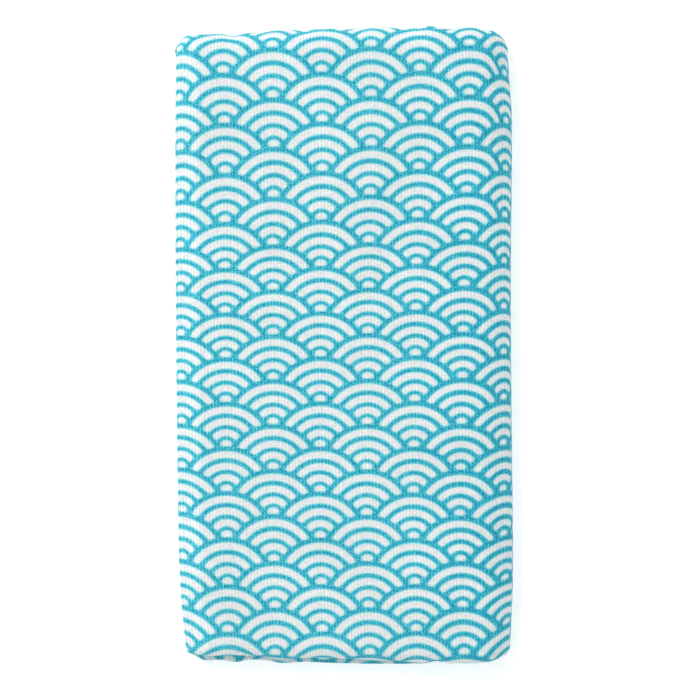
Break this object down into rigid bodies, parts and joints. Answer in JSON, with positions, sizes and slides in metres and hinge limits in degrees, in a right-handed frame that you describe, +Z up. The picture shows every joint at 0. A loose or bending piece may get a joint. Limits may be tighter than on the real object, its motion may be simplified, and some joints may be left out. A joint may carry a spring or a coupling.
{
  "type": "folded tenugui towel",
  "caption": "Thin cotton hand towel with a turquoise and white wave-scale print, folded in thirds and then in quarters.",
  "frame": {"origin": "on the surface, under the middle of the folded towel's box", "axes": "+Z is up; +Y runs along the folded towel to its last fold, and the hemmed ends are at -Y; +X is the side with the wider bends of the fold in thirds"},
  "size_m": [0.1192, 0.2244, 0.0164],
  "materials": {
    "cloth": "matte"
  },
  "bodies": {
    "root": {"towel": "cloth"}
  },
  "joints": []
}
